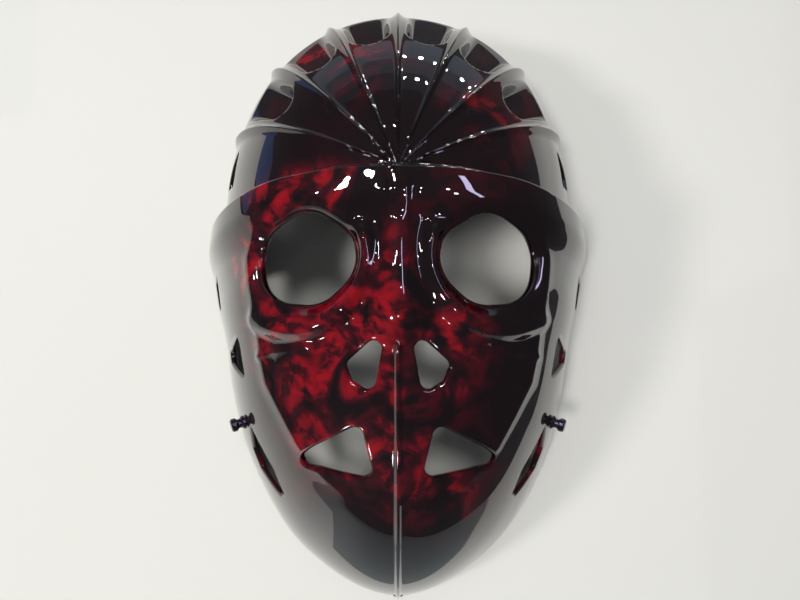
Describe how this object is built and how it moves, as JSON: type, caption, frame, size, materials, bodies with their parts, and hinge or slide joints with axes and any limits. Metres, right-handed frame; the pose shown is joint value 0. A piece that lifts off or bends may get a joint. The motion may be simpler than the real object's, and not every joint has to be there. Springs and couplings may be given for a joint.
{
  "type": "hockey mask",
  "caption": "Moulded goaltender's face mask with a ribbed forehead, brow ledge, goggle-ringed eye holes, cut vents and a strap stud on each side.",
  "frame": {"origin": "middle of the mask's width and length, in the plane of its rim, as it lies face up", "axes": "+X across the face, +Y from the chin to the forehead, +Z out of the face"},
  "size_m": [0.1912, 0.2818, 0.114],
  "materials": {
    "lacquer": "clouded candy red over black under a deep clear gloss coat",
    "stud": "glossy near-black with a violet cast"
  },
  "bodies": {
    "root": {"shell": "lacquer", "strap_stud_left": "stud", "strap_stud_right": "stud", "stud_nut_left": "stud", "stud_nut_right": "stud"}
  },
  "joints": []
}
